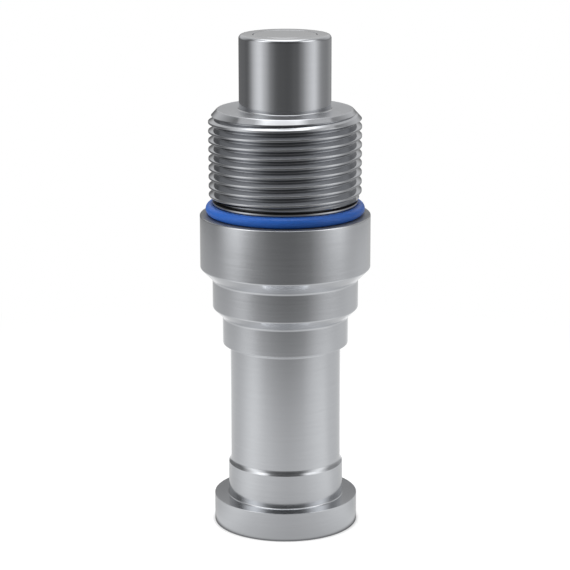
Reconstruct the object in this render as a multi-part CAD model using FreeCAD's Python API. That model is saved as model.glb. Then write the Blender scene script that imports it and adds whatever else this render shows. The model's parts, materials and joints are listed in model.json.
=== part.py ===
import FreeCAD, Part
import math
import os

# A flush-face, screw-to-connect hydraulic coupling plug with a split-flange port.
# It stands on its flange face at Z = 0 with its axis on Z and its nose up. All sizes are in millimetres.

# Split-flange head, 1 inch high-pressure size
flange_head_diameter = 47.63
flange_head_thickness = 9.53
flange_edge_break = 0.25
flange_root_radius = 0.5
flange_shoulder_diameter = 38.1
flange_shoulder_length = 11.3
port_bore_diameter = 25.4
port_edge_break = 0.6
face_groove_outer_diameter = 39.7
face_groove_width = 4.45
face_groove_depth = 2.8

# Outside of the flange adaptor, upwards from the shoulder
cove_height = 2.5
neck_diameter = 36.5
neck_length = 38.42
lower_step_diameter = 41.5
lower_step_length = 9.18
upper_step_diameter = 48.0
upper_step_length = 9.45
collar_diameter = 56.0
collar_length = 17.65
collar_edge_break = 0.25

# Nose, coupling thread and dust ring
nose_diameter = 30.0
nose_length = 24.15
nose_edge_break = 0.9
nose_root_radius = 0.5
thread_diameter = 50.0
thread_pitch = 3.0
thread_section_length = 29.44
thread_top_chamfer = 2.7
thread_lower_chamfer = 1.2
thread_phase = 1.22
relief_height = 0.8
relief_depth = 1.5
lip_height = 0.75
lip_diameter = 47.6
dust_ring_section = 3.6
dust_ring_slack = 0.06

# Walls and seats inside
nose_wall = 3.0
nose_land_length = 10.05
seat_width = 1.2
seat_gap = 0.1
rim_gap = 0.4
rim_thickness = 2.5
chamber_step = 2.5
chamber_cone_drop = 3.95
pilot_wall = 4.5
pilot_floor_setback = 1.3
socket_step = 3.5
socket_floor_setback = 0.35
shoulder_gap = 0.3

# Valve: stroke, spring, stem and guide
poppet_stroke = 20.0
stop_gap = 0.5
poppet_edge_break = 0.25
spring_wire_diameter = 2.4
spring_turns = 6.5
spring_wire_sides = 8
spring_setback = 1.7
spring_boss_clearance = 0.6
stop_step_width = 2.9
stem_tail = 3.0
stem_end_chamfer = 0.8
hub_wall = 2.45
hub_drop = 2.5
hub_rise = 9.5
hub_flange_thickness = 2.0
hub_flange_overhang = 0.5
guide_ring_thickness = 5.0
guide_web_width = 4.0
guide_web_count = 3
guide_window_margin = 0.8
guide_window_round = 1.5

# Seals: ring widths and grooves
poppet_gland_setback = 3.4
poppet_gland_width = 4.3
poppet_gland_depth = 2.1
body_gland_setback = 1.2
body_gland_width = 4.9
body_gland_depth = 2.1
backup_ring_width = 1.3
seal_corner_bevel = 0.6

# Clearances
running_clearance = 0.05
joint_clearance = 0.05
guide_clearance = 0.1
seal_clearance = 0.03

# Thread form: 60 degree flanks, a flat crest of a fifth of the pitch
thread_flank_angle = 30.0
thread_crest_share = 0.2
thread_depth_share = 0.65
thread_overcut = 0.3
thread_core_overlap = 2.0

# Radii that follow from the sizes above
flange_r = flange_head_diameter / 2
shoulder_r = flange_shoulder_diameter / 2
port_r = port_bore_diameter / 2
neck_r = neck_diameter / 2
lower_step_r = lower_step_diameter / 2
upper_step_r = upper_step_diameter / 2
collar_r = collar_diameter / 2
nose_r = nose_diameter / 2
thread_r = thread_diameter / 2
thread_root_r = thread_r - thread_depth_share * thread_pitch
nose_chamber_r = nose_r - nose_wall
rim_r = nose_chamber_r - rim_gap
poppet_r = rim_r - seat_width
nose_bore_r = poppet_r + running_clearance
chamber_r = nose_chamber_r + chamber_step
pilot_bore_r = chamber_r + pilot_wall
pilot_r = pilot_bore_r - joint_clearance
socket_r = pilot_bore_r + socket_step
spigot_r = socket_r - joint_clearance
relief_r = thread_root_r - relief_depth
lip_r = lip_diameter / 2
spring_mean_r = rim_r - spring_setback - spring_wire_diameter / 2
boss_r = spring_mean_r - spring_wire_diameter / 2 - spring_boss_clearance
stem_r = boss_r - stop_step_width
stem_bore_r = stem_r + running_clearance
hub_r = stem_bore_r + hub_wall
hub_flange_r = spring_mean_r + spring_wire_diameter / 2 + hub_flange_overhang

# Heights that follow, from the flange face up
flange_back_z = flange_head_thickness
shoulder_top_z = flange_back_z + flange_shoulder_length
neck_start_z = shoulder_top_z + cove_height
lower_step_z = neck_start_z + neck_length
lower_step_top_z = lower_step_z + lower_step_length
upper_step_z = lower_step_top_z + upper_step_r - lower_step_r
upper_step_top_z = upper_step_z + upper_step_length
collar_z = upper_step_top_z + collar_r - upper_step_r
collar_top_z = collar_z + collar_length
lip_z = collar_top_z + dust_ring_section + dust_ring_slack
relief_z = lip_z + lip_height
thread_z = relief_z + relief_height
thread_top_z = thread_z + thread_section_length
nose_top_z = thread_top_z + nose_length
pilot_floor_z = upper_step_z + pilot_floor_setback
guide_top_z = pilot_floor_z + guide_ring_thickness
socket_floor_z = collar_z + socket_floor_setback
hub_bottom_z = pilot_floor_z - hub_drop
hub_top_z = guide_top_z + hub_rise
seat_top_z = nose_top_z - nose_land_length
rim_top_z = seat_top_z - (rim_r - nose_bore_r) - seat_gap
spring_top_z = rim_top_z - rim_thickness
chamber_cone_top_z = thread_top_z - chamber_cone_drop
stop_z = hub_top_z + poppet_stroke + stop_gap
stem_end_z = hub_bottom_z - stem_tail
poppet_gland_top_z = nose_top_z - poppet_gland_setback
poppet_gland_z = poppet_gland_top_z - poppet_gland_width
body_gland_z = guide_top_z + body_gland_setback
body_gland_top_z = body_gland_z + body_gland_width

AXIS = FreeCAD.Vector(0, 0, 1)
CENTRE = FreeCAD.Vector(0, 0, 0)


def turned(corners):
    """Solid of revolution about Z from (radius, height) corners, each with an optional rounding radius."""
    points = [FreeCAD.Vector(corner[0], 0, corner[1]) for corner in corners]
    rounds = [corner[2] if len(corner) > 2 else 0 for corner in corners]
    stops = []
    arcs = []
    for index, point in enumerate(points):
        before = points[index - 1] - point
        after = points[(index + 1) % len(points)] - point
        if rounds[index] == 0:
            stops.append((point, point))
            arcs.append(None)
            continue
        half_angle = before.getAngle(after) / 2
        room_before = before.Length / 2 if rounds[index - 1] else before.Length
        room_after = after.Length / 2 if rounds[(index + 1) % len(points)] else after.Length
        reach = min(rounds[index] / math.tan(half_angle), room_before, room_after)
        radius = reach * math.tan(half_angle)
        inward = (before.normalize() + after.normalize()).normalize()
        middle = point + inward * (radius / math.sin(half_angle) - radius)
        start = point + before * reach
        end = point + after * reach
        stops.append((start, end))
        arcs.append(Part.Arc(start, middle, end).toShape())
    edges = []
    for index, (start, end) in enumerate(stops):
        if arcs[index]:
            edges.append(arcs[index])
        following = stops[(index + 1) % len(stops)][0]
        if end.distanceToPoint(following) > Part.Precision.confusion():
            edges.append(Part.LineSegment(end, following).toShape())
    return Part.Face(Part.Wire(edges)).revolve(CENTRE, AXIS, 360)


def plain_ring(inner_r, outer_r, bottom_z, top_z):
    """Ring of rectangular section."""
    return turned([(inner_r, bottom_z), (outer_r, bottom_z), (outer_r, top_z), (inner_r, top_z)])


def squeezed_ring(inner_r, outer_r, bottom_z, top_z):
    """Elastic ring pressed into a rectangular groove: flat on its four sides, with bevelled corners."""
    bevel = seal_corner_bevel
    return turned(
        [
            (inner_r + bevel, bottom_z),
            (outer_r - bevel, bottom_z),
            (outer_r, bottom_z + bevel),
            (outer_r, top_z - bevel),
            (outer_r - bevel, top_z),
            (inner_r + bevel, top_z),
            (inner_r, top_z - bevel),
            (inner_r, bottom_z + bevel),
        ]
    )


def helix_sweep(section, pitch, height, radius):
    """Section in the XZ plane, swept along a right-hand helix that starts on the X axis."""
    straight = 0
    helix = Part.Wire(Part.makeLongHelix(pitch, height, radius, straight).Edges)
    helix.translate(FreeCAD.Vector(0, 0, section.CenterOfMass.z))
    return helix.makePipeShell([section], True, True)


def flange_adaptor():
    """Split-flange head, shoulder, neck, two steps and collar in one turned piece, bored from both ends."""
    face_groove_r = face_groove_outer_diameter / 2
    bore_cone_z = lower_step_z - (chamber_r - port_r)
    cove_depth = shoulder_r - neck_r
    cove_radius = (cove_height**2 + cove_depth**2) / (2 * cove_depth)
    cove_tangent = (cove_height**2 + cove_depth**2) / (2 * cove_height)
    return turned(
        [
            (port_r + port_edge_break, 0),
            (face_groove_r - face_groove_width, 0),
            (face_groove_r - face_groove_width, face_groove_depth),
            (face_groove_r, face_groove_depth),
            (face_groove_r, 0),
            (flange_r - flange_edge_break, 0),
            (flange_r, flange_edge_break),
            (flange_r, flange_back_z - flange_edge_break),
            (flange_r - flange_edge_break, flange_back_z),
            (shoulder_r, flange_back_z, flange_root_radius),
            (shoulder_r, shoulder_top_z),
            (neck_r, neck_start_z - cove_tangent, cove_radius),
            (neck_r, lower_step_z),
            (lower_step_r, lower_step_z),
            (lower_step_r, lower_step_top_z),
            (upper_step_r, upper_step_z),
            (upper_step_r, upper_step_top_z),
            (collar_r, collar_z),
            (collar_r, collar_top_z - collar_edge_break),
            (collar_r - collar_edge_break, collar_top_z),
            (socket_r, collar_top_z),
            (socket_r, socket_floor_z),
            (pilot_bore_r, socket_floor_z),
            (pilot_bore_r, pilot_floor_z),
            (chamber_r, pilot_floor_z),
            (chamber_r, lower_step_z),
            (port_r, bore_cone_z),
            (port_r, port_edge_break),
        ]
    )


def nose_blank():
    """Nose body before its thread is put on: spigot, lip, relief, thread core and nose, with the valve chamber."""
    core_r = relief_r
    return turned(
        [
            (chamber_r, guide_top_z),
            (pilot_r, guide_top_z),
            (pilot_r, body_gland_z),
            (pilot_r - body_gland_depth, body_gland_z),
            (pilot_r - body_gland_depth, body_gland_top_z),
            (pilot_r, body_gland_top_z),
            (pilot_r, socket_floor_z + shoulder_gap),
            (spigot_r, socket_floor_z + shoulder_gap),
            (spigot_r, lip_z),
            (lip_r, lip_z),
            (lip_r, relief_z),
            (core_r, relief_z),
            (core_r, thread_top_z - thread_core_overlap),
            (nose_r, thread_top_z - thread_core_overlap),
            (nose_r, nose_top_z - nose_edge_break),
            (nose_r - nose_edge_break, nose_top_z),
            (nose_bore_r, nose_top_z),
            (nose_bore_r, seat_top_z),
            (nose_chamber_r, seat_top_z - (nose_chamber_r - nose_bore_r)),
            (nose_chamber_r, chamber_cone_top_z),
            (chamber_r, chamber_cone_top_z - chamber_step),
        ]
    )


def thread_groove():
    """Right-hand helical groove between the flanks of the coupling thread."""
    half_crest_gap = thread_pitch * (1 - thread_crest_share) / 2
    slope = math.tan(math.radians(thread_flank_angle))
    half_root = half_crest_gap - (thread_r - thread_root_r) * slope
    outer_r = thread_r + thread_overcut
    half_mouth = half_crest_gap + thread_overcut * slope
    start_z = thread_z + thread_phase - thread_pitch
    corners = [
        (thread_root_r, -half_root),
        (outer_r, -half_mouth),
        (outer_r, half_mouth),
        (thread_root_r, half_root),
    ]
    points = [FreeCAD.Vector(r, 0, start_z + z) for r, z in corners]
    section = Part.makePolygon(points + points[:1])
    turns = math.ceil((thread_top_z + thread_pitch - start_z) / thread_pitch)
    return helix_sweep(section, thread_pitch, turns * thread_pitch, thread_root_r)


def coupling_thread():
    """Chamfered sleeve with the helical thread cut into it."""
    sleeve = turned(
        [
            (relief_r - thread_core_overlap, thread_z),
            (thread_r - thread_lower_chamfer, thread_z),
            (thread_r, thread_z + thread_lower_chamfer),
            (thread_r, thread_top_z - thread_top_chamfer),
            (thread_r - thread_top_chamfer, thread_top_z),
            (nose_r, thread_top_z, nose_root_radius),
            (nose_r, thread_top_z + nose_root_radius * 2),
            (nose_r - nose_wall / 2, thread_top_z + nose_root_radius * 2),
            (nose_r - nose_wall / 2, thread_top_z - thread_core_overlap),
            (relief_r - thread_core_overlap, thread_top_z - thread_core_overlap),
        ]
    )
    return sleeve.cut(thread_groove())


def nose_body():
    """Nose and coupling thread in one piece."""
    return nose_blank().fuse(coupling_thread()).removeSplitter()


def dust_ring():
    """Round-section ring that lies on the collar around the spigot."""
    section_r = dust_ring_section / 2
    centre_r = spigot_r + seal_clearance + section_r
    centre_z = collar_top_z + seal_clearance + section_r
    return Part.makeTorus(centre_r, section_r, FreeCAD.Vector(0, 0, centre_z), AXIS)


def poppet():
    """Valve with its flush face, seal groove, conical seat, spring boss and guided stem."""
    return turned(
        [
            (0, stem_end_z),
            (stem_r - stem_end_chamfer, stem_end_z),
            (stem_r, stem_end_z + stem_end_chamfer),
            (stem_r, stop_z),
            (boss_r, stop_z),
            (boss_r, spring_top_z),
            (rim_r, spring_top_z),
            (rim_r, rim_top_z),
            (poppet_r, rim_top_z + rim_r - poppet_r),
            (poppet_r, poppet_gland_z),
            (poppet_r - poppet_gland_depth, poppet_gland_z),
            (poppet_r - poppet_gland_depth, poppet_gland_top_z),
            (poppet_r, poppet_gland_top_z),
            (poppet_r, nose_top_z - poppet_edge_break),
            (poppet_r - poppet_edge_break, nose_top_z),
            (0, nose_top_z),
        ]
    )


def poppet_seal():
    """Elastic ring on the pressure side of the poppet's groove."""
    return squeezed_ring(
        poppet_r - poppet_gland_depth + seal_clearance,
        poppet_r,
        poppet_gland_z + seal_clearance,
        poppet_gland_top_z - backup_ring_width - 2 * seal_clearance,
    )


def poppet_backup_ring():
    """Hard ring on the outer side of the poppet's groove."""
    return plain_ring(
        poppet_r - poppet_gland_depth + seal_clearance,
        poppet_r,
        poppet_gland_top_z - backup_ring_width - seal_clearance,
        poppet_gland_top_z - seal_clearance,
    )


def body_seal():
    """Elastic ring on the pressure side of the pilot's groove."""
    return squeezed_ring(
        pilot_r - body_gland_depth + seal_clearance,
        pilot_bore_r - seal_clearance,
        body_gland_z + seal_clearance,
        body_gland_top_z - backup_ring_width - 2 * seal_clearance,
    )


def body_backup_ring():
    """Hard ring on the outer side of the pilot's groove."""
    return plain_ring(
        pilot_r - body_gland_depth + seal_clearance,
        pilot_bore_r - seal_clearance,
        body_gland_top_z - backup_ring_width - seal_clearance,
        body_gland_top_z - seal_clearance,
    )


def valve_spring():
    """Right-hand compression spring of many-sided wire, ground flat at both ends, between guide and poppet."""
    wire_r = spring_wire_diameter / 2
    length = spring_top_z - hub_top_z
    pitch = length / spring_turns
    corners = []
    for index in range(spring_wire_sides):
        angle = 2 * math.pi * (index + 0.5) / spring_wire_sides
        out = spring_mean_r + wire_r * math.cos(angle)
        corners.append(FreeCAD.Vector(out, 0, hub_top_z + wire_r * math.sin(angle)))
    coil = helix_sweep(Part.makePolygon(corners + corners[:1]), pitch, length, spring_mean_r)
    between_seats = Part.makeCylinder(hub_flange_r, length, FreeCAD.Vector(0, 0, hub_top_z), AXIS)
    return coil.common(between_seats)


def guide_window():
    """Cutter for one flow window of the guide, a rounded sector between hub and ring."""
    inner_r = hub_r + guide_window_margin
    half_web = guide_web_width / 2
    half_span = math.pi / guide_web_count
    corners = []
    for radius in (inner_r, chamber_r):
        angle = half_span - math.asin(half_web / radius)
        corners.append([FreeCAD.Vector(radius * math.cos(a), radius * math.sin(a), 0) for a in (-angle, angle)])
    (inner_low, inner_high), (outer_low, outer_high) = corners
    edges = [
        Part.LineSegment(inner_low, outer_low).toShape(),
        Part.Arc(outer_low, FreeCAD.Vector(chamber_r, 0, 0), outer_high).toShape(),
        Part.LineSegment(outer_high, inner_high).toShape(),
        Part.Arc(inner_high, FreeCAD.Vector(inner_r, 0, 0), inner_low).toShape(),
    ]
    sector = Part.Face(Part.Wire(edges)).extrude(AXIS * guide_ring_thickness)
    upright = [edge for edge in sector.Edges if len(edge.Vertexes) == 2 and edge.BoundBox.ZLength > 0]
    sector = sector.makeFillet(guide_window_round, upright)
    sector.translate(AXIS * pilot_floor_z)
    return sector


def valve_guide():
    """Spider guide: outer ring on the pilot floor, hub with stem bore and spring seat, webs between windows."""
    ring_r = pilot_bore_r - guide_clearance
    flange_z = hub_top_z - hub_flange_thickness
    guide = turned(
        [
            (stem_bore_r, hub_bottom_z),
            (hub_r, hub_bottom_z),
            (hub_r, pilot_floor_z),
            (ring_r, pilot_floor_z),
            (ring_r, guide_top_z),
            (hub_r, guide_top_z),
            (hub_r, flange_z - (hub_flange_r - hub_r)),
            (hub_flange_r, flange_z),
            (hub_flange_r, hub_top_z),
            (stem_bore_r, hub_top_z),
        ]
    )
    for index in range(guide_web_count):
        window = guide_window()
        window.rotate(CENTRE, AXIS, index * 360 / guide_web_count)
        guide = guide.cut(window)
    return guide


PIECES = {
    "flange_adaptor": flange_adaptor,
    "nose_body": nose_body,
    "dust_ring": dust_ring,
    "poppet": poppet,
    "poppet_seal": poppet_seal,
    "poppet_backup_ring": poppet_backup_ring,
    "valve_spring": valve_spring,
    "valve_guide": valve_guide,
    "body_seal": body_seal,
    "body_backup_ring": body_backup_ring,
}

os.makedirs("parts", exist_ok=True)
for name, build in PIECES.items():
    shape = build()
    print(name, shape.ShapeType, len(shape.Solids), "solid", round(shape.Volume, 1), "mm3", shape.isValid())
    shape.exportStep(f"parts/{name}.step")
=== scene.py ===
import json
import math
from collections import namedtuple

import bmesh
import bpy
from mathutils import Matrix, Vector


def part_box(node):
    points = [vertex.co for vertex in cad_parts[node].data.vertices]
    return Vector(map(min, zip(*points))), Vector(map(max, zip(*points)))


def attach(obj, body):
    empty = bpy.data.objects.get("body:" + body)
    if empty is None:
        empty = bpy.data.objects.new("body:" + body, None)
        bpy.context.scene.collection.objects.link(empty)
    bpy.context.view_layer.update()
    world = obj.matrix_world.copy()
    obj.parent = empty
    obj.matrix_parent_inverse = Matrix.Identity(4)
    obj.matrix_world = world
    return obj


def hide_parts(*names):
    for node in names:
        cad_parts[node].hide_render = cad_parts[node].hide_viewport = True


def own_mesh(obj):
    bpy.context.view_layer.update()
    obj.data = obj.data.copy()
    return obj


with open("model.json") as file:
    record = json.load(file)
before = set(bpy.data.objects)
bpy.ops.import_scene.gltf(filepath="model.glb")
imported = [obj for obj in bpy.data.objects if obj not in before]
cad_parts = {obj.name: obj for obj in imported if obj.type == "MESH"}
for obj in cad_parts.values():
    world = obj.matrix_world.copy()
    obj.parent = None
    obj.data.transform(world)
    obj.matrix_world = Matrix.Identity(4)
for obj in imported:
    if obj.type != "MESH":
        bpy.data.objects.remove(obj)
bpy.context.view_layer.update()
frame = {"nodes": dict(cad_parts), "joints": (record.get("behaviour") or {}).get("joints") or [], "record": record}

# Sizes of the object are in millimetres, and MM turns them into the metres of the meshes.
MM = 0.001


def node_box(node):
    """Lowest and highest corner of a node, in millimetres."""
    low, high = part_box(node)
    return low / MM, high / MM


def mount_radius(name):
    """Radius of a round mount of the record, in millimetres."""
    return next(mount["dims"]["r_mm"] for mount in frame["record"]["mounts"] if mount["name"] == name)


_, adaptor_high = node_box("flange_adaptor")
nose_low, nose_high = node_box("nose_body")
ring_low, ring_high = node_box("dust_ring")
poppet_low, poppet_high = node_box("poppet")
_, guide_high = node_box("valve_guide")
stroke = frame["joints"][0]["range_m"][1] / MM

# Flange adaptor, outside
FLANGE_R = mount_radius("flange_head")
FLANGE_THICKNESS = 9.53
FLANGE_EDGE = 0.12
FLANGE_FOOT_EDGE = 0.25
FLANGE_ROOT = 0.35
FACE_GROOVE_R = 19.85
FACE_GROOVE_WIDTH = 4.45
FACE_GROOVE_DEPTH = 2.8
SHOULDER_R = 19.05
SHOULDER_HEIGHT = 11.3
SHOULDER_TOP = FLANGE_THICKNESS + SHOULDER_HEIGHT
COVE_HEIGHT = 2.5
NECK_R = 18.25
NECK_HEIGHT = 38.42
NECK_START = SHOULDER_TOP + COVE_HEIGHT
LOWER_STEP_R = 20.75
LOWER_STEP_HEIGHT = 9.18
LOWER_STEP_Z = NECK_START + NECK_HEIGHT
LOWER_STEP_TOP = LOWER_STEP_Z + LOWER_STEP_HEIGHT
UPPER_STEP_R = 24.0
UPPER_STEP_HEIGHT = 9.45
UPPER_STEP_Z = LOWER_STEP_TOP + UPPER_STEP_R - LOWER_STEP_R
UPPER_STEP_TOP = UPPER_STEP_Z + UPPER_STEP_HEIGHT
COLLAR_R = adaptor_high.x
COLLAR_Z = UPPER_STEP_TOP + COLLAR_R - UPPER_STEP_R
COLLAR_TOP = adaptor_high.z
COLLAR_EDGE = 0.45
CONE_EDGE = 0.75
CONE_ROOT = 1.2
STEP_EDGE = 0.4
STEP_ROOT = 1.2
FINE_EDGE = 0.12

# Flange adaptor and nose body, inside
PORT_R = mount_radius("port_bore")
PORT_EDGE = 0.6
CHAMBER_R = 14.5
PILOT_BORE_R = 19.0
PILOT_FLOOR_RISE = 1.3
PILOT_FLOOR = UPPER_STEP_Z + PILOT_FLOOR_RISE
PILOT_R = 18.95
SOCKET_R = 22.5
SOCKET_FLOOR_RISE = 0.35
SOCKET_FLOOR = COLLAR_Z + SOCKET_FLOOR_RISE
SPIGOT_R = 22.45
SPIGOT_GAP = 0.3
SPIGOT_SHOULDER = SOCKET_FLOOR + SPIGOT_GAP
SEAL_GROOVE_DEPTH = 2.1
BODY_GROOVE_RISE = 1.2
BODY_GROOVE_WIDTH = 4.9
BODY_GROOVE_Z = nose_low.z + BODY_GROOVE_RISE
BODY_GROOVE_TOP = BODY_GROOVE_Z + BODY_GROOVE_WIDTH
BODY_GROOVE_R = PILOT_R - SEAL_GROOVE_DEPTH
NOSE_TOP = nose_high.z
NOSE_CHAMBER_R = 12.0
NOSE_BORE_R = 10.45
NOSE_BORE_LENGTH = 10.05
SEAT_TOP = NOSE_TOP - NOSE_BORE_LENGTH

# Nose and coupling thread
NOSE_R = mount_radius("coupling_nose")
NOSE_LENGTH = 24.15
NOSE_EDGE = 1.25
NOSE_ROOT = 0.5
THREAD_R = mount_radius("coupling_thread")
THREAD_LENGTH = 29.44
THREAD_PITCH = 3.0
THREAD_DEPTH = 1.95
THREAD_FLANK = math.radians(30)
THREAD_CREST = 0.6
THREAD_CREST_ROUND = 0.12
THREAD_ROOT_ROUND = 0.1
THREAD_PHASE = 1.22
THREAD_LEAD_IN = 2 * THREAD_PITCH
THREAD_TOP = NOSE_TOP - NOSE_LENGTH
THREAD_Z = THREAD_TOP - THREAD_LENGTH
THREAD_TOP_CHAMFER = 2.85
THREAD_TOP_CHAMFER_HEIGHT = 3.15
THREAD_TOP_ROUND = 0.9
THREAD_LOWER_CHAMFER = 1.2
THREAD_ROOT_R = THREAD_R - THREAD_DEPTH
THREAD_TOP_SLOPE = THREAD_TOP_CHAMFER / THREAD_TOP_CHAMFER_HEIGHT
THREAD_END = THREAD_TOP - (THREAD_ROOT_R - THREAD_R + THREAD_TOP_CHAMFER) / THREAD_TOP_SLOPE
RELIEF_DEPTH = 1.5
RELIEF_HEIGHT = 0.8
RELIEF_R = THREAD_ROOT_R - RELIEF_DEPTH
RELIEF_Z = THREAD_Z - RELIEF_HEIGHT
LIP_R = 23.8
LIP_HEIGHT = 0.75
LIP_Z = RELIEF_Z - LIP_HEIGHT
CHAMBER_CONE_DROP = 3.95
CHAMBER_CONE_TOP = THREAD_TOP - CHAMBER_CONE_DROP

# Poppet
POPPET_R = 10.4
POPPET_EDGE = 0.35
RIM_R = poppet_high.x
RIM_HEIGHT = 2.5
SEAT_GAP = 0.1
RIM_TOP = SEAT_TOP - (RIM_R - NOSE_BORE_R) - SEAT_GAP
BOSS_R = 6.9
STEM_R = 4.0
STEM_CHAMFER = 0.8
STOP_GAP = 0.5
STOP_Z = guide_high.z + stroke + STOP_GAP
POPPET_HEAD = 3.4
POPPET_GROOVE_WIDTH = 4.3
POPPET_GROOVE_TOP = NOSE_TOP - POPPET_HEAD
POPPET_GROOVE_Z = POPPET_GROOVE_TOP - POPPET_GROOVE_WIDTH
POPPET_GROOVE_R = POPPET_R - SEAL_GROOVE_DEPTH

# Spring
SPRING_SEAT = guide_high.z
SPRING_TOP = RIM_TOP - RIM_HEIGHT
SPRING_LENGTH = SPRING_TOP - SPRING_SEAT
SPRING_WIRE_R = 1.2
SPRING_MEAN_R = 8.7
SPRING_TURNS = 6.5
SPRING_END_TURNS = 0.75

# Mesh fineness
COLUMNS = 192
ARC_STEPS = 5
FLANK_STEPS = 8
WIRE_SIDES = 16
WIRE_STEPS_PER_TURN = 48
TORUS_SIDES = 48
SHARP_ANGLE = math.radians(32)
LARGE_FACE_WEIGHT = 100
MERGE_DISTANCE = 0.002 * MM
CHAMFER_NEARNESS = 0.01


def rounded(corners, closed=True):
    """Points of a polygon or polyline of (radius, height, rounding) corners, with arcs at rounded ones."""
    points = [Vector(corner[:2]) for corner in corners]
    rounds = [corner[2] if len(corner) > 2 else 0 for corner in corners]
    outline = []
    for index, point in enumerate(points):
        at_end = not closed and index in (0, len(points) - 1)
        if at_end or rounds[index] == 0:
            outline.append(point)
            continue
        following = (index + 1) % len(points)
        before = points[index - 1] - point
        after = points[following] - point
        half_angle = before.angle(after) / 2
        room_before = before.length / 2 if rounds[index - 1] else before.length
        room_after = after.length / 2 if rounds[following] else after.length
        reach = min(rounds[index] / math.tan(half_angle), room_before, room_after)
        radius = reach * math.tan(half_angle)
        inward = (before.normalized() + after.normalized()).normalized()
        centre = point + inward * radius / math.sin(half_angle)
        start = point + before.normalized() * reach - centre
        end = point + after.normalized() * reach - centre
        for step in range(ARC_STEPS + 1):
            outline.append(centre + start.slerp(end, step / ARC_STEPS) * radius)
    return [(point.x, point.y) for point in outline]


def polar_point(radius, angle, height):
    """Point in metres at a radius and an angle about Z, and at a height."""
    return radius * MM * math.cos(angle), radius * MM * math.sin(angle), height * MM


def add_ring(mesh, radius, height):
    """Circle of vertices about Z, or its one vertex where the radius is 0."""
    if radius == 0:
        return [mesh.verts.new(polar_point(0, 0, height))] * COLUMNS
    ring = []
    for column in range(COLUMNS):
        angle = 2 * math.pi * column / COLUMNS
        ring.append(mesh.verts.new(polar_point(radius, angle, height)))
    return ring


def add_strip(mesh, first, second):
    """Faces between two circles of vertices."""
    for column in range(COLUMNS):
        following = (column + 1) % COLUMNS
        corners = [first[column], first[following], second[following], second[column]]
        distinct = list(dict.fromkeys(corners))
        if len(distinct) > 2:
            mesh.faces.new(distinct)


def add_lathe(mesh, profile, closed=True):
    """Surface of revolution of a profile; returns its first and last circle."""
    rings = [add_ring(mesh, radius, height) for radius, height in profile]
    for first, second in zip(rings, rings[1:]):
        add_strip(mesh, first, second)
    if closed:
        add_strip(mesh, rings[-1], rings[0])
    return rings[0], rings[-1]


def finished(mesh, name, material, creased=lambda edge: False):
    """Object of a mesh, with smooth shading that breaks at sharp edges and at creased ones."""
    bmesh.ops.remove_doubles(mesh, verts=mesh.verts, dist=MERGE_DISTANCE)
    bmesh.ops.dissolve_degenerate(mesh, edges=mesh.edges, dist=MERGE_DISTANCE / 2)
    bmesh.ops.recalc_face_normals(mesh, faces=mesh.faces)
    for face in mesh.faces:
        face.smooth = True
    for edge in mesh.edges:
        bends_little = len(edge.link_faces) == 2 and edge.calc_face_angle() < SHARP_ANGLE
        edge.smooth = bends_little and not creased(edge)
    data = bpy.data.meshes.new(name)
    mesh.to_mesh(data)
    mesh.free()
    data.materials.append(material)
    piece = bpy.data.objects.new(name, data)
    bpy.context.scene.collection.objects.link(piece)
    return piece


def weigh_normals(piece):
    """Lets large faces set the shading, so that narrow edge rounds don't tint the faces beside them."""
    modifier = piece.modifiers.new("face_weighted_shading", "WEIGHTED_NORMAL")
    modifier.mode = "FACE_AREA"
    modifier.weight = LARGE_FACE_WEIGHT
    modifier.keep_sharp = True


# Shader nodes


def empty_material(name):
    """New material with an empty node tree."""
    material = bpy.data.materials.new(name)
    material.use_nodes = True
    material.node_tree.nodes.clear()
    return material, material.node_tree


def show(tree, shader, output_kind="ShaderNodeOutputMaterial"):
    """Makes a shader the surface of its tree."""
    output = tree.nodes.new(output_kind)
    tree.links.new(shader.outputs[0], output.inputs["Surface"])


def feed(tree, socket, value):
    """Links a socket to another one, or sets it to a plain value."""
    if isinstance(value, bpy.types.NodeSocket):
        tree.links.new(value, socket)
    else:
        socket.default_value = value


def math_node(tree, operation, first, second=0):
    """Math node on sockets or plain numbers."""
    node = tree.nodes.new("ShaderNodeMath")
    node.operation = operation
    for socket, value in zip(node.inputs, (first, second)):
        feed(tree, socket, value)
    return node.outputs[0]


def range_node(tree, value, low, high):
    """Maps 0..1 to low..high."""
    node = tree.nodes.new("ShaderNodeMapRange")
    node.inputs["To Min"].default_value = low
    node.inputs["To Max"].default_value = high
    tree.links.new(value, node.inputs["Value"])
    return node.outputs["Result"]


def smooth_step(tree, value, start, end):
    """0 up to start, 1 from end on, and a smooth rise between."""
    node = tree.nodes.new("ShaderNodeMapRange")
    node.interpolation_type = "SMOOTHSTEP"
    node.inputs["From Min"].default_value = start
    node.inputs["From Max"].default_value = end
    tree.links.new(value, node.inputs["Value"])
    return node.outputs["Result"]


def colour_mix(tree, share, first, second):
    """Mix of two colours or sockets, by a share from 0 to 1."""
    node = tree.nodes.new("ShaderNodeMixRGB")
    for socket, value in zip(node.inputs, (share, first, second)):
        feed(tree, socket, value)
    return node.outputs[0]


def noise_node(tree, spacing, detail):
    """Noise with a feature every spacing millimetres or so."""
    node = tree.nodes.new("ShaderNodeTexNoise")
    node.inputs["Scale"].default_value = 1 / (spacing * MM)
    node.inputs["Detail"].default_value = detail
    return node


def object_place(tree):
    """Place of a point in its object's frame, as one vector and as its x, y and z."""
    place = tree.nodes.new("ShaderNodeTexCoord").outputs["Object"]
    split = tree.nodes.new("ShaderNodeSeparateXYZ")
    tree.links.new(place, split.inputs[0])
    return place, split.outputs


def axis_distance(tree, x, y):
    """Distance from the Z axis."""
    square = math_node(tree, "ADD", math_node(tree, "POWER", x, 2), math_node(tree, "POWER", y, 2))
    return math_node(tree, "SQRT", square)


# Materials

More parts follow.
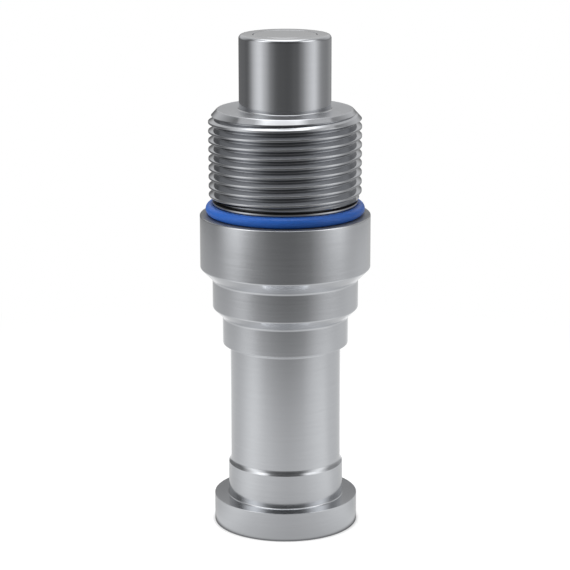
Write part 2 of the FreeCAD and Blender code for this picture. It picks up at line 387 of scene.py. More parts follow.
MARK_DETAIL = 3
MARK_HEIGHT_GAIN = 1.6
STREAK_LENGTH = 14
STREAK_HEIGHT = 0.9
STREAK_DETAIL = 4
STREAK_SHARE = 0.6
ACROSS_THE_MARKS = 0.25
GRAIN_DETAIL = 5
GRAIN_ROUGHNESS_SPREAD = 0.08
GRAIN_TONE_SPREAD = 0.12


def principled(name):
    """New material with one surface shader."""
    material, tree = empty_material(name)
    shader = tree.nodes.new("ShaderNodeBsdfPrincipled")
    show(tree, shader)
    return material, tree, shader


def scaled(colour, factor):
    """Opaque colour, darker or lighter by a factor."""
    return (*[min(part * factor, 1) for part in colour], 1)


def bump(tree, shader, height, depth):
    """Gives a shader bumps of a depth in millimetres."""
    node = tree.nodes.new("ShaderNodeBump")
    node.inputs["Distance"].default_value = depth * MM
    tree.links.new(height, node.inputs["Height"])
    tree.links.new(node.outputs[0], shader.inputs["Normal"])


def turning_marks(tree, x, y, z, spacing):
    """Noise in rings about Z, as turning leaves on a face: 0..1, one ring every spacing millimetres or so."""
    noise = noise_node(tree, spacing, MARK_DETAIL)
    noise.noise_dimensions = "1D"
    height = math_node(tree, "MULTIPLY", z, MARK_HEIGHT_GAIN)
    tree.links.new(math_node(tree, "ADD", axis_distance(tree, x, y), height), noise.inputs["W"])
    return noise.outputs["Fac"]


def polishing_streaks(tree, place):
    """Noise in long, low patches, as polishing leaves on a turned face: 0..1."""
    flattened = tree.nodes.new("ShaderNodeVectorMath")
    flattened.operation = "MULTIPLY"
    flattened.inputs[1].default_value = (1, 1, STREAK_LENGTH / STREAK_HEIGHT)
    tree.links.new(place, flattened.inputs[0])
    noise = noise_node(tree, STREAK_LENGTH, STREAK_DETAIL)
    tree.links.new(flattened.outputs[0], noise.inputs["Vector"])
    return noise.outputs["Fac"]


def height_band(tree, z, low, high):
    """1 between two heights in millimetres, 0 away from them."""
    above = smooth_step(tree, z, (low - FINE_EDGE) * MM, low * MM)
    below = smooth_step(tree, z, (high + FINE_EDGE) * MM, high * MM)
    return math_node(tree, "MULTIPLY", above, below)


def steel(
    name, colour, tone_spread, roughness, roughness_spread, mark_spacing, mark_depth, anisotropy, bands=()
):
    """Turned steel: rings of turning marks, polishing streaks, and gloss drawn out across the marks.

    A band is a stretch of heights with its own roughness; a shade below 1 darkens its colour there as painted
    shade.
    """
    material, tree, shader = principled(name)
    place, (x, y, z) = object_place(tree)
    marks = turning_marks(tree, x, y, z, mark_spacing)
    mark_part = math_node(tree, "MULTIPLY", marks, 1 - STREAK_SHARE)
    streak_part = math_node(tree, "MULTIPLY", polishing_streaks(tree, place), STREAK_SHARE)
    unevenness = math_node(tree, "ADD", mark_part, streak_part)
    polish = range_node(tree, unevenness, roughness - roughness_spread, roughness + roughness_spread)
    tint = colour_mix(tree, unevenness, scaled(colour, 1 - tone_spread), scaled(colour, 1 + tone_spread))
    # Bands with a shade below 1 paint shade into the colour
    for band in bands:
        inside = height_band(tree, z, band.low, band.high)
        rougher = math_node(tree, "MULTIPLY", inside, band.roughness - roughness)
        polish = math_node(tree, "ADD", polish, rougher)
        tint = colour_mix(tree, inside, tint, scaled(colour, band.shade))
    tree.links.new(polish, shader.inputs["Roughness"])
    tree.links.new(tint, shader.inputs["Base Color"])
    bump(tree, shader, marks, mark_depth)
    around = tree.nodes.new("ShaderNodeTangent")
    around.direction_type = "RADIAL"
    around.axis = "Z"
    tree.links.new(around.outputs[0], shader.inputs["Tangent"])
    shader.inputs["Metallic"].default_value = 1
    shader.inputs["Anisotropic"].default_value = anisotropy
    shader.inputs["Anisotropic Rotation"].default_value = ACROSS_THE_MARKS
    return material


def moulded(name, colour, roughness, grain, depth, gloss):
    """Moulded rubber or plastic with a fine grain."""
    material, tree, shader = principled(name)
    place, _ = object_place(tree)
    noise = noise_node(tree, grain, GRAIN_DETAIL)
    tree.links.new(place, noise.inputs["Vector"])
    unevenness = noise.outputs["Fac"]
    smoothest = roughness - GRAIN_ROUGHNESS_SPREAD
    roughest = roughness + GRAIN_ROUGHNESS_SPREAD
    tree.links.new(range_node(tree, unevenness, smoothest, roughest), shader.inputs["Roughness"])
    darkest = scaled(colour, 1 - GRAIN_TONE_SPREAD)
    lightest = scaled(colour, 1 + GRAIN_TONE_SPREAD)
    tree.links.new(colour_mix(tree, unevenness, darkest, lightest), shader.inputs["Base Color"])
    bump(tree, shader, unevenness, depth)
    shader.inputs["Specular IOR Level"].default_value = gloss
    return material


# A band's shade below 1 is painted shade that darkens its stretch of the colour
Band = namedtuple("Band", "low high roughness shade")
# Collar's top face: rougher as turned, and its colour darkened by painted shade beside the ring
COLLAR_FACE_PAINTED_SHADE = Band(low=COLLAR_TOP - FINE_EDGE / 2, high=COLLAR_TOP, roughness=0.5, shade=0.4)
THREAD_LAND = Band(low=THREAD_TOP, high=THREAD_TOP, roughness=0.36, shade=1)
# Relief groove under the thread: rougher, and its colour darkened by painted shade
THREAD_RELIEF_PAINTED_SHADE = Band(low=RELIEF_Z, high=THREAD_Z, roughness=0.4, shade=0.3)

SATIN_STEEL = steel(
    "satin_steel",
    colour=(0.63, 0.645, 0.67),
    tone_spread=0.07,
    roughness=0.16,
    roughness_spread=0.04,
    mark_spacing=0.35,
    mark_depth=0.0015,
    anisotropy=0.6,
    bands=[COLLAR_FACE_PAINTED_SHADE],
)
POLISHED_STEEL = steel(
    "polished_steel",
    colour=(0.46, 0.47, 0.49),
    tone_spread=0.06,
    roughness=0.12,
    roughness_spread=0.03,
    mark_spacing=0.2,
    mark_depth=0.0004,
    anisotropy=0.6,
    bands=[THREAD_LAND, THREAD_RELIEF_PAINTED_SHADE],
)
SPRING_STEEL = steel(
    "spring_steel",
    colour=(0.42, 0.42, 0.43),
    tone_spread=0.06,
    roughness=0.28,
    roughness_spread=0.06,
    mark_spacing=0.5,
    mark_depth=0.002,
    anisotropy=0.2,
)
BLUE_RING = moulded(
    "blue_ring", colour=(0.03, 0.15, 0.6), roughness=0.34, grain=0.5, depth=0.006, gloss=0.3
)
SEAL_RUBBER = moulded(
    "seal_rubber", colour=(0.02, 0.02, 0.021), roughness=0.5, grain=0.4, depth=0.01, gloss=0.5
)
BACKUP_PLASTIC = moulded(
    "backup_plastic", colour=(0.82, 0.82, 0.79), roughness=0.45, grain=0.6, depth=0.01, gloss=0.5
)


# Pieces


def flange_adaptor():
    """Flange head, shoulder, neck, two steps and collar, with the bore and the socket inside."""
    cove_depth = SHOULDER_R - NECK_R
    cove_square = COVE_HEIGHT**2 + cove_depth**2
    profile = rounded(
        [
            (PORT_R + PORT_EDGE, 0, FINE_EDGE),
            (FACE_GROOVE_R - FACE_GROOVE_WIDTH, 0, FINE_EDGE),
            (FACE_GROOVE_R - FACE_GROOVE_WIDTH, FACE_GROOVE_DEPTH, FINE_EDGE),
            (FACE_GROOVE_R, FACE_GROOVE_DEPTH, FINE_EDGE),
            (FACE_GROOVE_R, 0, FINE_EDGE),
            (FLANGE_R, 0, FLANGE_FOOT_EDGE),
            (FLANGE_R, FLANGE_THICKNESS, FLANGE_EDGE),
            (SHOULDER_R, FLANGE_THICKNESS, FLANGE_ROOT),
            (SHOULDER_R, SHOULDER_TOP, FINE_EDGE),
            (NECK_R, NECK_START - cove_square / (2 * COVE_HEIGHT), cove_square / (2 * cove_depth)),
            (NECK_R, LOWER_STEP_Z, STEP_ROOT),
            (LOWER_STEP_R, LOWER_STEP_Z, STEP_EDGE),
            (LOWER_STEP_R, LOWER_STEP_TOP, CONE_ROOT),
            (UPPER_STEP_R, UPPER_STEP_Z, CONE_EDGE),
            (UPPER_STEP_R, UPPER_STEP_TOP, CONE_ROOT),
            (COLLAR_R, COLLAR_Z, CONE_EDGE),
            (COLLAR_R, COLLAR_TOP, COLLAR_EDGE),
            (SOCKET_R, COLLAR_TOP),
            (SOCKET_R, SOCKET_FLOOR),
            (PILOT_BORE_R, SOCKET_FLOOR),
            (PILOT_BORE_R, PILOT_FLOOR),
            (CHAMBER_R, PILOT_FLOOR),
            (CHAMBER_R, LOWER_STEP_Z, FINE_EDGE),
            (PORT_R, LOWER_STEP_Z - (CHAMBER_R - PORT_R), FINE_EDGE),
            (PORT_R, PORT_EDGE, FINE_EDGE),
        ]
    )
    mesh = bmesh.new()
    add_lathe(mesh, profile)
    return finished(mesh, "turned_flange_adaptor", SATIN_STEEL)


def thread_pitch_profile():
    """One pitch of the thread from crest to crest, its groove in the middle.

    Returns the outline's (height, radius) points, and the heights at which the mesh follows it.
    """
    half_crest = THREAD_CREST / 2
    half_pitch = THREAD_PITCH / 2
    half_root = half_pitch - half_crest - THREAD_DEPTH * math.tan(THREAD_FLANK)
    corners = [
        (-half_pitch, THREAD_R),
        (half_crest - half_pitch, THREAD_R, THREAD_CREST_ROUND),
        (-half_root, THREAD_ROOT_R, THREAD_ROOT_ROUND),
        (half_root, THREAD_ROOT_R, THREAD_ROOT_ROUND),
        (half_pitch - half_crest, THREAD_R, THREAD_CREST_ROUND),
        (half_pitch, THREAD_R),
    ]
    outline = rounded(corners, closed=False)
    longest = THREAD_DEPTH / FLANK_STEPS
    offsets = []
    for start, end in zip(outline, outline[1:]):
        parts = max(1, math.ceil(math.dist(start, end) / longest))
        for part in range(parts):
            offsets.append(start[0] + (end[0] - start[0]) * (part / parts))
    return outline, offsets


def thread_radius(outline, offset):
    """Radius of the thread at a height offset from a groove's centre."""
    offset = (offset + THREAD_PITCH / 2) % THREAD_PITCH - THREAD_PITCH / 2
    for (low, low_r), (high, high_r) in zip(outline, outline[1:]):
        if low <= offset <= high and high > low:
            return low_r + (high_r - low_r) * (offset - low) / (high - low)
    return THREAD_R


def top_chamfer_radius(height):
    """Radius of the chamfer at the thread's top."""
    return THREAD_R - THREAD_TOP_CHAMFER + (THREAD_TOP - height) * THREAD_TOP_SLOPE


def lower_chamfer_radius(height):
    """Radius of the chamfer at the thread's lower end."""
    return THREAD_R - THREAD_LOWER_CHAMFER + height - THREAD_Z


def meet_chamfer(heights, radii):
    """Moves the points beside the top chamfer onto the line where it cuts the thread."""
    proud = [radius - top_chamfer_radius(height) for height, radius in zip(heights, radii)]
    for row in range(len(heights) - 1):
        if proud[row] * proud[row + 1] >= 0:
            continue
        share = proud[row] / (proud[row] - proud[row + 1])
        nearer = row + round(share)
        heights[nearer] = heights[row] + (heights[row + 1] - heights[row]) * share
        radii[nearer] = top_chamfer_radius(heights[nearer])


def thread_column(outline, offsets, share):
    """Points (radius, height) of the thread from its lower end to its top, at a share of a turn about Z."""
    groove_z = THREAD_Z + THREAD_PHASE
    start_z = groove_z - THREAD_LEAD_IN
    turns = math.ceil((THREAD_END - start_z) / THREAD_PITCH) + 1
    heights = []
    for turn in range(turns):
        for offset in offsets:
            height = start_z + THREAD_PITCH * (turn + share) + offset
            heights.append(min(max(height, THREAD_Z), THREAD_END))
    radii = [thread_radius(outline, height - groove_z - THREAD_PITCH * share) for height in heights]
    meet_chamfer(heights, radii)
    points = []
    for height, radius in zip(heights, radii):
        radius = min(radius, top_chamfer_radius(height), lower_chamfer_radius(height))
        points.append((radius, height))
    return points


def add_thread(mesh, below, above):
    """Right-hand helical thread between two circles, cut off by the chamfers at its ends."""
    outline, offsets = thread_pitch_profile()
    columns = []
    for column in range(COLUMNS):
        share = column / COLUMNS
        angle = 2 * math.pi * share
        points = thread_column(outline, offsets, share)
        columns.append([mesh.verts.new(polar_point(radius, angle, height)) for radius, height in points])
    for column, verts in enumerate(columns):
        following = columns[(column + 1) % COLUMNS]
        shift = len(offsets) if column == COLUMNS - 1 else 0
        for row in range(len(verts) - 1 - shift):
            corners = [verts[row], following[row + shift], following[row + 1 + shift], verts[row + 1]]
            mesh.faces.new(corners)
    add_strip(mesh, below, [verts[0] for verts in columns])
    add_strip(mesh, [verts[-1] for verts in columns], above)


def bounds_thread_chamfer(edge):
    """Whether an edge parts the chamfer at the thread's top from a flank."""
    on_chamfer = set()
    for face in edge.link_faces:
        depths = [top_chamfer_radius(vert.co.z / MM) - math.hypot(*vert.co.xy) / MM for vert in face.verts]
        on_chamfer.add(max(depths) < CHAMFER_NEARNESS)
    lowest = THREAD_TOP - THREAD_TOP_CHAMFER_HEIGHT - THREAD_PITCH
    height = min(vert.co.z / MM for vert in edge.verts)
    return lowest < height < THREAD_END and len(on_chamfer) > 1


def nose_body():
    """Nose, coupling thread, lip and spigot, with the valve chamber inside."""
    profile = rounded(
        [
            (THREAD_ROOT_R, THREAD_END),
            (THREAD_R - THREAD_TOP_CHAMFER, THREAD_TOP, THREAD_TOP_ROUND),
            (NOSE_R, THREAD_TOP, NOSE_ROOT),
            (NOSE_R, NOSE_TOP, NOSE_EDGE),
            (NOSE_BORE_R, NOSE_TOP, FINE_EDGE),
            (NOSE_BORE_R, SEAT_TOP),
            (NOSE_CHAMBER_R, SEAT_TOP - (NOSE_CHAMBER_R - NOSE_BORE_R)),
            (NOSE_CHAMBER_R, CHAMBER_CONE_TOP),
            (CHAMBER_R, CHAMBER_CONE_TOP - (CHAMBER_R - NOSE_CHAMBER_R)),
            (CHAMBER_R, nose_low.z),
            (PILOT_R, nose_low.z),
            (PILOT_R, BODY_GROOVE_Z),
            (BODY_GROOVE_R, BODY_GROOVE_Z),
            (BODY_GROOVE_R, BODY_GROOVE_TOP),
            (PILOT_R, BODY_GROOVE_TOP),
            (PILOT_R, SPIGOT_SHOULDER),
            (SPIGOT_R, SPIGOT_SHOULDER),
            (SPIGOT_R, LIP_Z),
            (LIP_R, LIP_Z, FINE_EDGE),
            (LIP_R, RELIEF_Z, FINE_EDGE),
            (RELIEF_R, RELIEF_Z),
            (RELIEF_R, THREAD_Z),
        ],
        closed=False,
    )
    mesh = bmesh.new()
    above, below = add_lathe(mesh, profile, closed=False)
    add_thread(mesh, below, above)
    return finished(mesh, "turned_nose_body", POLISHED_STEEL, bounds_thread_chamfer)


def poppet():
    """Valve with flush face, seal groove, conical seat, spring boss and stem."""
    profile = rounded(
        [
            (0, poppet_low.z),
            (STEM_R - STEM_CHAMFER, poppet_low.z, FINE_EDGE),
            (STEM_R, poppet_low.z + STEM_CHAMFER, FINE_EDGE),
            (STEM_R, STOP_Z),
            (BOSS_R, STOP_Z, FINE_EDGE),
            (BOSS_R, SPRING_TOP),
            (RIM_R, SPRING_TOP, FINE_EDGE),
            (RIM_R, RIM_TOP, FINE_EDGE),
            (POPPET_R, RIM_TOP + RIM_R - POPPET_R, FINE_EDGE),
            (POPPET_R, POPPET_GROOVE_Z),
            (POPPET_GROOVE_R, POPPET_GROOVE_Z),
            (POPPET_GROOVE_R, POPPET_GROOVE_TOP),
            (POPPET_R, POPPET_GROOVE_TOP),
            (POPPET_R, NOSE_TOP - POPPET_EDGE, FINE_EDGE),
            (POPPET_R - POPPET_EDGE, NOSE_TOP, FINE_EDGE),
            (0, NOSE_TOP),
        ],
        closed=False,
    )
    mesh = bmesh.new()
    add_lathe(mesh, profile, closed=False)
    return finished(mesh, "turned_poppet", POLISHED_STEEL)


def dust_ring():
    """Round-section blue ring on the collar."""
    section_r = (ring_high.z - ring_low.z) / 2
    centre_r = ring_high.x - section_r
    centre_z = (ring_high.z + ring_low.z) / 2
    profile = []
    for side in range(TORUS_SIDES):
        angle = 2 * math.pi * side / TORUS_SIDES
        profile.append((centre_r + section_r * math.cos(angle), centre_z + section_r * math.sin(angle)))
    mesh = bmesh.new()
    add_lathe(mesh, profile)
    return finished(mesh, "moulded_dust_ring", BLUE_RING)


def spring_height(turn):
    """Height of the wire's centre above the lower seat: closed end turns, even pitch between."""
    wire = 2 * SPRING_WIRE_R
    active = SPRING_TURNS - 2 * SPRING_END_TURNS
    rise = (SPRING_LENGTH - wire * (1 + 2 * SPRING_END_TURNS) + SPRING_WIRE_R) / active
    if turn < SPRING_END_TURNS:
        return SPRING_WIRE_R / 2 + wire * turn
    if turn > SPRING_TURNS - SPRING_END_TURNS:
        return SPRING_LENGTH - SPRING_WIRE_R / 2 - wire * (SPRING_TURNS - turn)
    return SPRING_WIRE_R / 2 + wire * SPRING_END_TURNS + rise * (turn - SPRING_END_TURNS)


def valve_spring():
    """Round-wire compression spring with closed, ground ends."""
    mesh = bmesh.new()
    steps = int(SPRING_TURNS * WIRE_STEPS_PER_TURN)
    rings = []
    for step in range(steps + 1):
        turn = SPRING_TURNS * step / steps
        ring = []
        for side in range(WIRE_SIDES):
            around = 2 * math.pi * side / WIRE_SIDES
            radius = SPRING_MEAN_R + SPRING_WIRE_R * math.cos(around)
            height = spring_height(turn) + SPRING_WIRE_R * math.sin(around)
            ground = SPRING_SEAT + min(max(height, 0), SPRING_LENGTH)
            ring.append(mesh.verts.new(polar_point(radius, 2 * math.pi * turn, ground)))
        rings.append(ring)
    for first, second in zip(rings, rings[1:]):
        for side in range(WIRE_SIDES):
            following = (side + 1) % WIRE_SIDES
            mesh.faces.new([first[side], first[following], second[following], second[side]])
    mesh.faces.new(rings[0])
    mesh.faces.new(rings[-1])
    return finished(mesh, "wound_valve_spring", SPRING_STEEL)


def dress_cad_nodes():
    """Finishes of the nodes that keep their solid's own shape."""
    finishes = {
        "valve_guide": SATIN_STEEL,
        "poppet_seal": SEAL_RUBBER,
        "poppet_backup_ring": BACKUP_PLASTIC,
        "body_seal": SEAL_RUBBER,
        "body_backup_ring": BACKUP_PLASTIC,
    }
    for node, material in finishes.items():
        for slot in frame["nodes"][node].material_slots:
            slot.material = material


# Stage: sizes in metres, directions in degrees from the front to the right, brightness 1 for white

Span = namedtuple("Span", "middle inner outer")
Softbox = namedtuple("Softbox", "name direction distance height size radiance")

# Surroundings and floor
WORLD_FILL = 0.08
WORLD_MIRRORED = 0.8
FLOOR_HALF_SIZE = 3
FLOOR_GREY = 0.5
FLOOR_GLOW = 0.8
FLOOR_CONTACT = 0.0015
FLOOR_FADE = (0.08, 0.3)

# Studio wall
WALL_STEPS = 72
WALL_DISTANCE = 0.5
WALL_FRONT_HEIGHT = 0.85
WALL_BACK_HEIGHT = 0.55
DIM_SHARE = 0.65
DIM_RISE = (0.09, 0.17)
SIDE_GAIN = 2.3
SIDE_RISE = (0.4, 0.56)
SIDE_WIDTHS = (0.28, 0.4)
SIDE_DEPTHS = (0.14, 0.02)
BACK_SHADE = 0.78
BACK_RISE = (0.12, 0.3)
BACK_WIDTHS = (0.56, 0.29)
BACK_DEPTHS = (0, WALL_DISTANCE / 2)

# Foot of the studio wall
FOOT_R = FLANGE_R * MM
FOOT_LIFT = 0.00005
# Painted contact shade and painted shadow on the foot around the object
FOOT_CONTACT = 0.0025
FOOT_CONTACT_SHARE = 0.2
FOOT_SHADOW_END = 0.08
FOOT_SHADOW_SHARE = 0.87
PAPER_FADE = (0.14, 0.42)
AHEAD_SHIFT = 0.05
AHEAD_COSINES = (-0.5, -0.95)

# Overhead panel and lamps
PANEL_HEIGHT = 0.9
PANEL_WIDTH = Span(middle=-0.05, inner=0.2, outer=0.38)
PANEL_DEPTH = Span(middle=0.18, inner=0.2, outer=0.54)
PANEL_GLOW = 2.8
SOFTBOXES = (
    Softbox("left_softbox", direction=-75, distance=1.1, height=0.35, size=(0.7, 0.8), radiance=4.8),
    Softbox("right_softbox", direction=67, distance=1.1, height=0.35, size=(0.7, 0.8), radiance=2.0),
    Softbox("top_softbox", direction=0, distance=0.05, height=1.0, size=(0.7, 0.7), radiance=2.8),
)

# Camera
CAMERA_PLACE = (0.00014, -0.7012, 0.253)
CAMERA_DROP = 13.78
CAMERA_ROLL = 0.083
CAMERA_LENS = 138
CAMERA_SENSOR = 36

# Brightness of the studio wall by direction
WALL_SHADES = (
    (-180, 0.15),
    (-150, 0.2),
    (-125, 0.22),
    (-102, 0.25),
    (-88, 0.68),
    (-68, 1.25),
    (-55, 1.0),
    (-40, 0.52),
    (-25, 0.23),
    (0, 0.15),
    (20, 0.18),
    (35, 0.28),
    (50, 0.64),
    (74, 1.17),
    (88, 0.83),
    (98, 0.53),
    (120, 0.39),
    (150, 0.43),
    (180, 0.15),
)

# Brightness of the floor far from the object by direction
FLOOR_SHADES = (
    (-180, 0.47),
    (-105, 0.44),
    (-89, 0.46),
    (-75, 0.5),
    (-62, 0.41),
    (-50, 0.27),
    (-27, 0.22),
    (0, 0.155),
    (26, 0.19),
    (37, 0.25),
    (60, 0.41),
    (73, 0.46),
    (90, 0.51),
    (122, 0.62),
    (180, 0.47),
)

# Brightness of the paper near the object by direction
PAPER_SHADES = (
    (-180, 1.0),
    (-162, 1.0),
    (-150, 0.74),
    (-136, 0.66),
    (-104, 0.67),
    (-70, 0.88),
    (-43, 0.76),
    (-26, 0.68),
    (0, 0.59),
    (23, 0.62),
    (40, 0.69),
    (78, 0.84),
    (100, 0.7),
    (136, 0.66),
    (150, 0.74),
    (162, 1.0),
    (180, 1.0),
)


def glow(tree, strength):
    """Emission of a strength, plain or from a socket."""
    emission = tree.nodes.new("ShaderNodeEmission")
    feed(tree, emission.inputs["Strength"], strength)
    return emission


def glow_ramp(tree, value, shades):
    """Emission whose brightness follows a value by pairs of (value, brightness)."""
    lowest, highest = shades[0][0], shades[-1][0]
    peak = max(shade for _, shade in shades)
    span = tree.nodes.new("ShaderNodeMapRange")
    span.inputs["From Min"].default_value = lowest
    span.inputs["From Max"].default_value = highest
    tree.links.new(value, span.inputs["Value"])
    ramp = tree.nodes.new("ShaderNodeValToRGB")
    ramp.color_ramp.interpolation = "CARDINAL"
    stops = ramp.color_ramp.elements
    stops.remove(stops[1])
    for index, (place, shade) in enumerate(shades):
        stop = stops.new((place - lowest) / (highest - lowest)) if index else stops[0]
        stop.color = (shade / peak, shade / peak, shade / peak, 1)
    tree.links.new(span.outputs["Result"], ramp.inputs["Fac"])
    emission = glow(tree, peak)
    tree.links.new(ramp.outputs["Color"], emission.inputs["Color"])
    return emission


def shader_mix(tree, share, first, second):
    """Mix of two shaders, by a share from 0 to 1."""
    mix = tree.nodes.new("ShaderNodeMixShader")
    tree.links.new(share, mix.inputs[0])
    tree.links.new(first.outputs[0], mix.inputs[1])
    tree.links.new(second.outputs[0], mix.inputs[2])
    return mix


def ray_kinds(tree):
    """Two sockets: 1 for rays from the camera, and 1 for rays mirrored by metal or passed on by glass."""
    path = tree.nodes.new("ShaderNodeLightPath")
    mirrored = math_node(tree, "MAXIMUM", path.outputs["Is Glossy Ray"], path.outputs["Is Transmission Ray"])
    return path.outputs["Is Camera Ray"], mirrored


def white_world():
    """White surroundings to look at, a little greyer in reflections, with a softer fill on the object."""
    world = bpy.data.worlds.new("studio")
    bpy.context.scene.world = world
    world.use_nodes = True
    tree = world.node_tree
    tree.nodes.clear()
    background = tree.nodes.new("ShaderNodeBackground")
    background.inputs["Color"].default_value = (1, 1, 1, 1)
    from_camera, mirrored = ray_kinds(tree)
    unseen = range_node(tree, mirrored, WORLD_FILL, WORLD_MIRRORED)
    tree.links.new(math_node(tree, "MAXIMUM", from_camera, unseen), background.inputs["Strength"])
    show(tree, background, "ShaderNodeOutputWorld")


def stage_mesh(name, points, faces, material):
    """Stage piece of a few faces."""
    data = bpy.data.meshes.new(name)
    data.from_pydata(points, [], faces)
    data.materials.append(material)
    piece = bpy.data.objects.new(name, data)
    bpy.context.scene.collection.objects.link(piece)
    return piece


def stage_rectangle(name, middle, half_size, height, material):
    """Level stage piece, from the (x, y) of its middle and of its half size."""
    corners = []
    for right, back in ((-1, -1), (1, -1), (1, 1), (-1, 1)):
        corners.append((middle[0] + right * half_size[0], middle[1] + back * half_size[1], height))
    return stage_mesh(name, corners, [(0, 1, 2, 3)], material)


def mirrored_only(piece):
    """Leaves a stage piece to the reflections in the metal."""
    piece.visible_camera = False
    piece.visible_diffuse = False
    piece.visible_shadow = False


def pale_floor():
    """White floor that keeps the object's shadow close to it, and is plain white further out."""
    material, tree = empty_material("pale_floor")
    shown = math_node(tree, "MAXIMUM", *ray_kinds(tree))
    diffuse = tree.nodes.new("ShaderNodeBsdfDiffuse")
    diffuse.inputs["Color"].default_value = (FLOOR_GREY, FLOOR_GREY, FLOOR_GREY, 1)
    _, (x, y, _) = object_place(tree)
    distance = axis_distance(tree, x, y)
    uncovered = smooth_step(tree, distance, FOOT_R - FLOOR_CONTACT, FOOT_R + FLOOR_CONTACT)
    lit = math_node(tree, "MULTIPLY", shown, uncovered)
    close_by = tree.nodes.new("ShaderNodeAddShader")
    tree.links.new(diffuse.outputs[0], close_by.inputs[0])
    tree.links.new(glow(tree, math_node(tree, "MULTIPLY", lit, FLOOR_GLOW)).outputs[0], close_by.inputs[1])
    far_out = math_node(tree, "MULTIPLY", shown, smooth_step(tree, distance, *FLOOR_FADE))
    show(tree, shader_mix(tree, far_out, close_by, glow(tree, 1)))
    stage_rectangle("floor", (0, 0), (FLOOR_HALF_SIZE, FLOOR_HALF_SIZE), 0, material)


def direction(tree, x, y):
    """Direction of a point from the axis, in degrees from the front to the right."""
    turn = math_node(tree, "ARCTAN2", x, math_node(tree, "MULTIPLY", y, -1))
    return math_node(tree, "DEGREES", turn)


def wall_material():
    """Glow of the studio wall by direction: dimmer higher up, brighter at the sides, an even shade behind."""
    material, tree = empty_material("studio_wall")
    _, (x, y, z) = object_place(tree)
    wall = glow_ramp(tree, direction(tree, x, y), WALL_SHADES)
    peak = wall.inputs["Strength"].default_value
    off_middle = math_node(tree, "ABSOLUTE", x)
    wide = smooth_step(tree, off_middle, *SIDE_WIDTHS)
    aside = math_node(tree, "MULTIPLY", wide, smooth_step(tree, y, *SIDE_DEPTHS))
    middle = range_node(tree, smooth_step(tree, z, *DIM_RISE), peak, peak * DIM_SHARE)
    sides = range_node(tree, smooth_step(tree, z, *SIDE_RISE), peak, peak * SIDE_GAIN)
    change = math_node(tree, "MULTIPLY", math_node(tree, "SUBTRACT", sides, middle), aside)
    tree.links.new(math_node(tree, "ADD", middle, change), wall.inputs["Strength"])
    behind = math_node(tree, "MULTIPLY", smooth_step(tree, y, *BACK_DEPTHS), smooth_step(tree, z, *BACK_RISE))
    even = math_node(tree, "MULTIPLY", behind, smooth_step(tree, off_middle, *BACK_WIDTHS))
    show(tree, shader_mix(tree, even, wall, glow(tree, BACK_SHADE)))
    return material


def foot_material():
    """Glow of the wall's foot: painted contact shade and painted shadow where the object stands, paper around it,
    then the floor's shades.

    The paper ends a little nearer in front of the object.
    """
    material, tree = empty_material("studio_foot")
    _, (x, y, _) = object_place(tree)
    heading = direction(tree, x, y)
    distance = axis_distance(tree, x, y)
    paper = glow_ramp(tree, heading, PAPER_SHADES)
    peak = paper.inputs["Strength"].default_value
    # Painted shade: a dark contact line at the flange's foot and a painted shadow fading out around it, seen only
    # in reflections
    uncovered = smooth_step(tree, distance, FOOT_R, FOOT_R + FOOT_CONTACT)
    clear = smooth_step(tree, distance, FOOT_R, FOOT_SHADOW_END)
    contact = range_node(tree, uncovered, FOOT_CONTACT_SHARE, 1)
    shadow = range_node(tree, clear, FOOT_SHADOW_SHARE * peak, peak)
    tree.links.new(math_node(tree, "MULTIPLY", contact, shadow), paper.inputs["Strength"])
    ahead = smooth_step(tree, math_node(tree, "DIVIDE", y, distance), *AHEAD_COSINES)
    reach = math_node(tree, "ADD", distance, math_node(tree, "MULTIPLY", ahead, AHEAD_SHIFT))
    floor = glow_ramp(tree, heading, FLOOR_SHADES)
    show(tree, shader_mix(tree, smooth_step(tree, reach, *PAPER_FADE), paper, floor))
    return material


def round_band(name, lower, upper, material):
    """Mirrored stage piece between two circles, each (radius, height in front, height behind)."""
    points = []
    for step in range(WALL_STEPS + 1):
        turn = 2 * math.pi * step / WALL_STEPS - math.pi
        frontness = (1 + math.cos(turn)) / 2
        for radius, front, back in (lower, upper):
            height = back + (front - back) * frontness
            points.append((radius * math.sin(turn), -radius * math.cos(turn), height))
    faces = [(first, first + 1, first + 3, first + 2) for first in range(0, len(points) - 2, 2)]
    mirrored_only(stage_mesh(name, points, faces, material))


def studio_wall():
    """Round wall and its flat foot, which only mirror in the metal."""
    inner = (FOOT_R, FOOT_LIFT, FOOT_LIFT)
    corner = (WALL_DISTANCE, FOOT_LIFT, FOOT_LIFT)
    top = (WALL_DISTANCE, WALL_FRONT_HEIGHT, WALL_BACK_HEIGHT)
    round_band("studio_foot", inner, corner, foot_material())
    round_band("studio_wall", corner, top, wall_material())


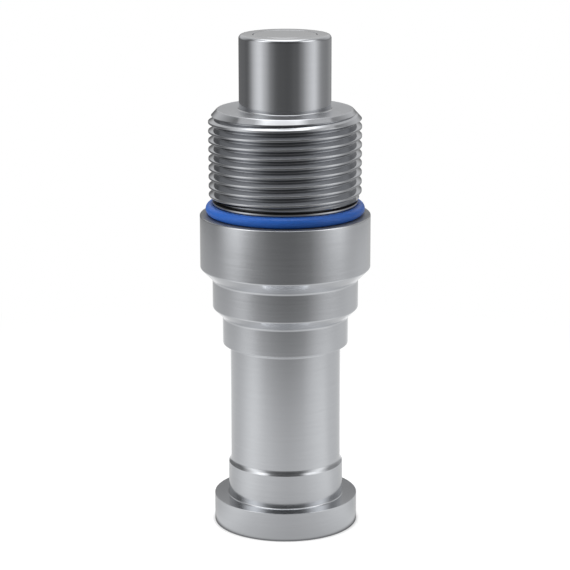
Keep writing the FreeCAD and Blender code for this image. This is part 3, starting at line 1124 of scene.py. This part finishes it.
def overhead_panel():
    """Panel above the object, bright within its inner span and white at its outer one; only mirrored."""
    material, tree = empty_material("overhead_panel")
    _, (x, y, _) = object_place(tree)
    cover = []
    for place, span in ((x, PANEL_WIDTH), (y, PANEL_DEPTH)):
        away = math_node(tree, "ABSOLUTE", math_node(tree, "SUBTRACT", place, span.middle))
        cover.append(smooth_step(tree, away, span.outer, span.inner))
    show(tree, glow(tree, range_node(tree, math_node(tree, "MULTIPLY", *cover), 1, PANEL_GLOW)))
    middle = (PANEL_WIDTH.middle, PANEL_DEPTH.middle)
    half_size = (PANEL_WIDTH.outer, PANEL_DEPTH.outer)
    mirrored_only(stage_rectangle("overhead_panel", middle, half_size, PANEL_HEIGHT, material))


def add_softbox(box):
    """Area light of a given brightness, aimed at the object's middle; the metal mirrors the wall instead."""
    data = bpy.data.lights.new(box.name, "AREA")
    data.shape = "RECTANGLE"
    data.size, data.size_y = box.size
    data.energy = box.radiance * math.pi * box.size[0] * box.size[1]
    light = bpy.data.objects.new(box.name, data)
    angle = math.radians(box.direction)
    light.location = (box.distance * math.sin(angle), -box.distance * math.cos(angle), box.height)
    aim = Vector((0, 0, NOSE_TOP * MM / 2)) - light.location
    light.rotation_euler = aim.to_track_quat("-Z", "Y").to_euler()
    light.visible_camera = False
    light.visible_glossy = False
    bpy.context.scene.collection.objects.link(light)


def camera():
    """Camera at the photograph's distance, height and tilt."""
    data = bpy.data.cameras.new("camera")
    data.sensor_width = CAMERA_SENSOR
    data.lens = CAMERA_LENS
    viewer = bpy.data.objects.new("camera", data)
    viewer.location = CAMERA_PLACE
    viewer.rotation_euler = (math.radians(90 - CAMERA_DROP), math.radians(CAMERA_ROLL), 0)
    bpy.context.scene.collection.objects.link(viewer)
    bpy.context.scene.camera = viewer


PIECES = [
    (flange_adaptor, "flange_adaptor", "housing", "satin_steel"),
    (nose_body, "nose_body", "housing", "polished_steel"),
    (dust_ring, "dust_ring", "housing", "blue_ring"),
    (poppet, "poppet", "valve", "polished_steel"),
    (valve_spring, "valve_spring", "housing", "spring_steel"),
]
pieces = {}
for build, node, body, slot_name in PIECES:
    piece = build()
    weigh_normals(piece)
    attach(piece, body)
    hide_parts(node)
    pieces[node] = piece
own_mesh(pieces["valve_spring"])
dress_cad_nodes()

bpy.context.scene.view_settings.view_transform = "Standard"
white_world()
pale_floor()
studio_wall()
overhead_panel()
for box in SOFTBOXES:
    add_softbox(box)
camera()
